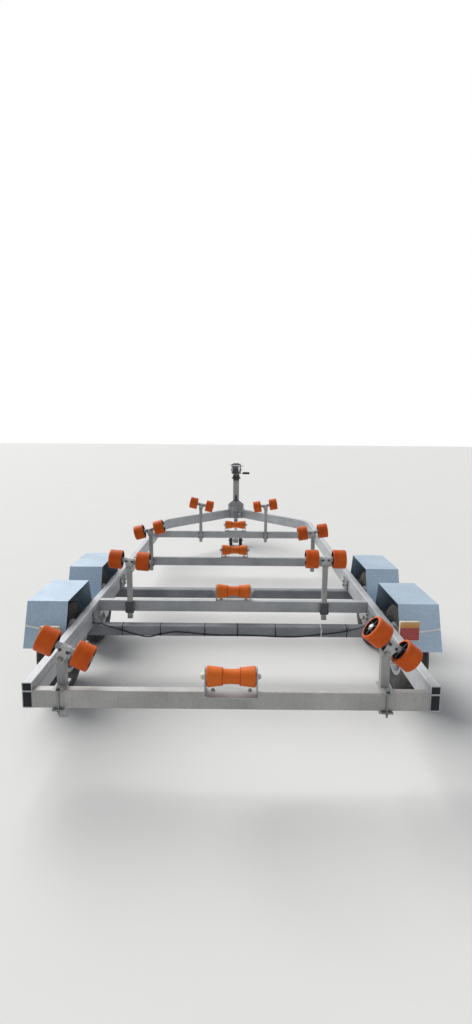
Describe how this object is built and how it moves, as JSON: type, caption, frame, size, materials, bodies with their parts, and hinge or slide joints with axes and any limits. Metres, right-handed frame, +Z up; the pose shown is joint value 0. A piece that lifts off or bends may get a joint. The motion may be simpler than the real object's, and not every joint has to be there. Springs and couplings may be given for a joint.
{
  "type": "boat trailer",
  "caption": "Galvanised tandem boat trailer with orange keel rollers, tilting side roller pairs, winch post, overrun coupling and jockey wheel.",
  "frame": {"origin": "on the ground, at the centre of the bounding box's bottom", "axes": "+X to the trailer's right seen from behind, +Y towards the coupling, +Z up"},
  "size_m": [2.548, 7, 1.236],
  "materials": {
    "galvanised": "satin",
    "steel": "satin",
    "tyre": "matte",
    "roller": "satin",
    "black_plastic": "matte",
    "white_plastic": "satin",
    "black_rubber": "matte",
    "lens": "gloss",
    "black_paint": "satin"
  },
  "bodies": {
    "frame": {"rail_left": "galvanised", "rail_right": "galvanised", "rear_crossmember": "galvanised", "crossbeams": "galvanised", "rear_axle": "galvanised", "front_axle": "galvanised", "mudguards_left": "galvanised", "mudguards_right": "galvanised", "mudguard_stays": "galvanised", "tail_lamps": "black_plastic", "lamp_lenses": "lens", "roller_posts": "galvanised", "post_clamps": "black_paint", "keel_brackets": "galvanised", "nose_plates": "galvanised", "drawbar": "galvanised", "coupling_housing": "galvanised", "coupling_bellows": "black_rubber", "coupling_head": "black_paint", "handbrake_mount": "galvanised", "winch_post": "galvanised", "winch_frame": "galvanised", "bow_stop": "black_rubber", "jockey_tube": "galvanised", "wiring": "black_plastic", "marker_leads": "white_plastic"},
    "wheel_rear_left": {"rim_rear_left": "galvanised", "tyre_rear_left": "tyre"},
    "wheel_rear_right": {"rim_rear_right": "galvanised", "tyre_rear_right": "tyre"},
    "wheel_front_left": {"rim_front_left": "galvanised", "tyre_front_left": "tyre"},
    "wheel_front_right": {"rim_front_right": "galvanised", "tyre_front_right": "tyre"},
    "keel_roller_rear": {"keel_roller_rear": "roller"},
    "keel_roller_mid": {"keel_roller_mid": "roller"},
    "keel_roller_fore_mid": {"keel_roller_fore_mid": "roller"},
    "keel_roller_fore": {"keel_roller_fore": "roller"},
    "rocker_rear_left": {"rocker_rear_left": "galvanised"},
    "roller_pair_rear_left": {"roller_pair_rear_left": "roller"},
    "rocker_rear_right": {"rocker_rear_right": "galvanised"},
    "roller_pair_rear_right": {"roller_pair_rear_right": "roller"},
    "rocker_mid_left": {"rocker_mid_left": "galvanised"},
    "roller_pair_mid_left": {"roller_pair_mid_left": "roller"},
    "rocker_mid_right": {"rocker_mid_right": "galvanised"},
    "roller_pair_mid_right": {"roller_pair_mid_right": "roller"},
    "rocker_fore_mid_left": {"rocker_fore_mid_left": "galvanised"},
    "roller_pair_fore_mid_left": {"roller_pair_fore_mid_left": "roller"},
    "rocker_fore_mid_right": {"rocker_fore_mid_right": "galvanised"},
    "roller_pair_fore_mid_right": {"roller_pair_fore_mid_right": "roller"},
    "rocker_fore_left": {"rocker_fore_left": "galvanised"},
    "roller_pair_fore_left": {"roller_pair_fore_left": "roller"},
    "rocker_fore_right": {"rocker_fore_right": "galvanised"},
    "roller_pair_fore_right": {"roller_pair_fore_right": "roller"},
    "jockey_leg": {"jockey_leg": "steel"},
    "jockey_fork": {"jockey_fork": "galvanised"},
    "jockey_wheels": {"jockey_wheels": "black_rubber"},
    "handbrake_lever": {"handbrake_lever": "galvanised"},
    "winch_drum": {"winch_drum": "steel"},
    "winch_handle": {"winch_handle": "steel"}
  },
  "joints": [
    {"name": "spin_rear_left", "type": "hinge", "parent": "frame", "child": "wheel_rear_left", "pos_m": [-1.15, -2.37, 0.297], "axis": [1, 0, 0], "continuous": true},
    {"name": "spin_rear_right", "type": "hinge", "parent": "frame", "child": "wheel_rear_right", "pos_m": [1.15, -2.37, 0.297], "axis": [1, 0, 0], "continuous": true},
    {"name": "spin_front_left", "type": "hinge", "parent": "frame", "child": "wheel_front_left", "pos_m": [-1.15, -1.5, 0.297], "axis": [1, 0, 0], "continuous": true},
    {"name": "spin_front_right", "type": "hinge", "parent": "frame", "child": "wheel_front_right", "pos_m": [1.15, -1.5, 0.297], "axis": [1, 0, 0], "continuous": true},
    {"name": "keel_spin_rear", "type": "hinge", "parent": "frame", "child": "keel_roller_rear", "pos_m": [0, -3.445, 0.588], "axis": [1, 0, 0], "continuous": true},
    {"name": "keel_spin_mid", "type": "hinge", "parent": "frame", "child": "keel_roller_mid", "pos_m": [0, -2.13, 0.61], "axis": [1, 0, 0], "continuous": true},
    {"name": "keel_spin_fore_mid", "type": "hinge", "parent": "frame", "child": "keel_roller_fore_mid", "pos_m": [0, -0.79, 0.612], "axis": [1, 0, 0], "continuous": true},
    {"name": "keel_spin_fore", "type": "hinge", "parent": "frame", "child": "keel_roller_fore", "pos_m": [0, 0.57, 0.62], "axis": [1, 0, 0], "continuous": true},
    {"name": "tilt_rear_left", "type": "hinge", "parent": "frame", "child": "rocker_rear_left", "pos_m": [-0.826, -3.3585, 0.638], "axis": [0, 1, 0], "range_deg": [-54, 16]},
    {"name": "roll_rear_left", "type": "hinge", "parent": "rocker_rear_left", "child": "roller_pair_rear_left", "pos_m": [-0.80566, -3.3585, 0.68368], "axis": [0.9135, 0, -0.4067], "continuous": true},
    {"name": "tilt_rear_right", "type": "hinge", "parent": "frame", "child": "rocker_rear_right", "pos_m": [0.745, -3.3585, 0.682], "axis": [0, 1, 0], "range_deg": [-79, 1]},
    {"name": "roll_rear_right", "type": "hinge", "parent": "rocker_rear_right", "child": "roller_pair_rear_right", "pos_m": [0.77647, -3.3585, 0.72086], "axis": [0.7771, 0, -0.6293], "continuous": true},
    {"name": "tilt_mid_left", "type": "hinge", "parent": "frame", "child": "rocker_mid_left", "pos_m": [-0.728, -2.1575, 0.784], "axis": [0, 1, 0], "range_deg": [-44.5, 35.5]},
    {"name": "roll_mid_left", "type": "hinge", "parent": "rocker_mid_left", "child": "roller_pair_mid_left", "pos_m": [-0.72408, -2.1575, 0.83385], "axis": [0.9969, 0, -0.0785], "continuous": true},
    {"name": "tilt_mid_right", "type": "hinge", "parent": "frame", "child": "rocker_mid_right", "pos_m": [0.638, -2.1575, 0.804], "axis": [0, 1, 0], "range_deg": [-40, 40]},
    {"name": "roll_mid_right", "type": "hinge", "parent": "rocker_mid_right", "child": "roller_pair_mid_right", "pos_m": [0.638, -2.1575, 0.854], "axis": [1, 0, 0], "continuous": true},
    {"name": "tilt_fore_mid_left", "type": "hinge", "parent": "frame", "child": "rocker_fore_mid_left", "pos_m": [-0.788, -0.8175, 0.757], "axis": [0, 1, 0], "range_deg": [-25, 55]},
    {"name": "roll_fore_mid_left", "type": "hinge", "parent": "rocker_fore_mid_left", "child": "roller_pair_fore_mid_left", "pos_m": [-0.80094, -0.8175, 0.8053], "axis": [0.9659, 0, 0.2588], "continuous": true},
    {"name": "tilt_fore_mid_right", "type": "hinge", "parent": "frame", "child": "rocker_fore_mid_right", "pos_m": [0.735, -0.8175, 0.747], "axis": [0, 1, 0], "range_deg": [-32, 48]},
    {"name": "roll_fore_mid_right", "type": "hinge", "parent": "rocker_fore_mid_right", "child": "roller_pair_fore_mid_right", "pos_m": [0.72804, -0.8175, 0.79651], "axis": [0.9903, 0, 0.1392], "continuous": true},
    {"name": "tilt_fore_left", "type": "hinge", "parent": "frame", "child": "rocker_fore_left", "pos_m": [-0.41, 0.5425, 0.813], "axis": [0, 1, 0], "range_deg": [-52, 28]},
    {"name": "roll_fore_left", "type": "hinge", "parent": "rocker_fore_left", "child": "roller_pair_fore_left", "pos_m": [-0.3996, 0.5425, 0.86191], "axis": [0.9781, 0, -0.2079], "continuous": true},
    {"name": "tilt_fore_right", "type": "hinge", "parent": "frame", "child": "rocker_fore_right", "pos_m": [0.359, 0.5425, 0.808], "axis": [0, 1, 0], "range_deg": [-30.5, 49.5]},
    {"name": "roll_fore_right", "type": "hinge", "parent": "rocker_fore_right", "child": "roller_pair_fore_right", "pos_m": [0.35075, 0.5425, 0.85731], "axis": [0.9863, 0, 0.165], "continuous": true},
    {"name": "jockey_height", "type": "slide", "parent": "frame", "child": "jockey_leg", "axis": [0, 0, 1], "range_m": [0, 0.13]},
    {"name": "jockey_swivel", "type": "hinge", "parent": "jockey_leg", "child": "jockey_fork", "pos_m": [0, 2.36, 0.15], "axis": [0, 0, 1], "continuous": true},
    {"name": "jockey_spin", "type": "hinge", "parent": "jockey_fork", "child": "jockey_wheels", "pos_m": [0, 2.315, 0.08], "axis": [1, 0, 0], "continuous": true},
    {"name": "handbrake", "type": "hinge", "parent": "frame", "child": "handbrake_lever", "pos_m": [0.009, 3.07, 0.55], "axis": [1, 0, 0], "range_deg": [-55, 0]},
    {"name": "winch_drum_spin", "type": "hinge", "parent": "frame", "child": "winch_drum", "pos_m": [0, 2.445, 1.142], "axis": [1, 0, 0], "continuous": true},
    {"name": "winch_handle_spin", "type": "hinge", "parent": "frame", "child": "winch_handle", "pos_m": [0, 2.467, 1.1978], "axis": [1, 0, 0], "continuous": true}
  ],
  "couplings": [
    {"joint": "winch_handle_spin", "follows": "winch_drum_spin", "ratio": -4.1026}
  ]
}
